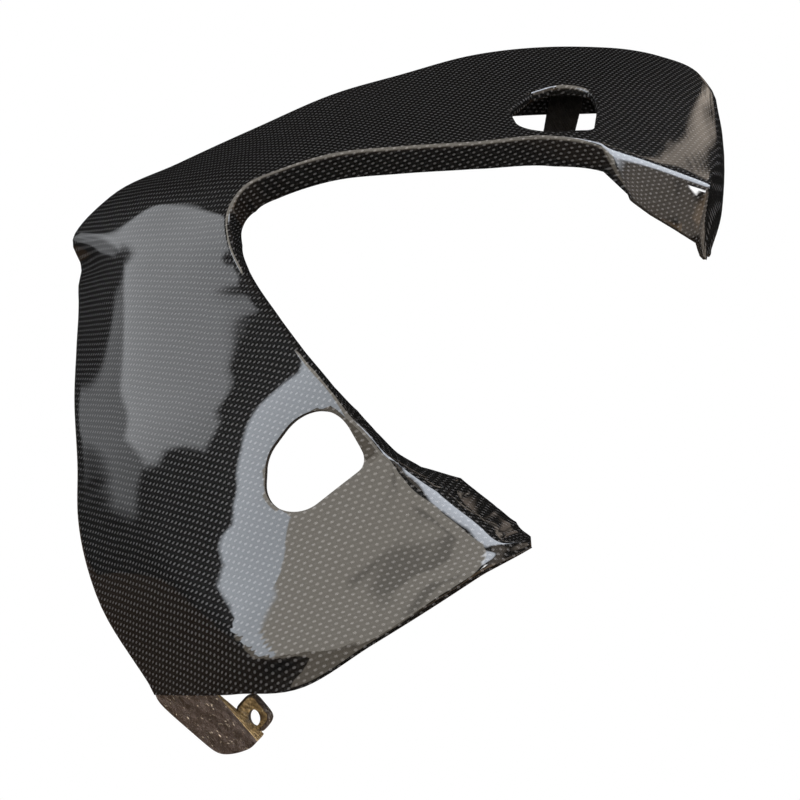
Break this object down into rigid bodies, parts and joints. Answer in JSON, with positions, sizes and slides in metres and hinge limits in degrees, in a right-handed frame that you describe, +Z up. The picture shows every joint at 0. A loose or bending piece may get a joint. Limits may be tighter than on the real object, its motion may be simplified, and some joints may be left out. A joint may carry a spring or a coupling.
{
  "type": "motorcycle fairing",
  "caption": "C-shaped carbon side fairing: a broad bulged panel with an upper arm and a lower leg round an open mouth, a rounded hole, a window in the arm and bonded fixing brackets.",
  "frame": {"origin": "centre of the lower fixing hole, halfway through the ear", "axes": "+X forward to the open mouth of the C, +Y inward to the motorcycle, +Z up"},
  "size_m": [0.3621, 0.2674, 0.3566],
  "materials": {
    "shell_laminate": "plain-weave carbon laminate under a deep clear lacquer",
    "bracket_laminate": "coarse carbon laminate wet with brown resin, glossy"
  },
  "bodies": {
    "root": {"shell": "shell_laminate", "lower_bracket": "bracket_laminate", "upper_bracket": "bracket_laminate"}
  },
  "joints": []
}
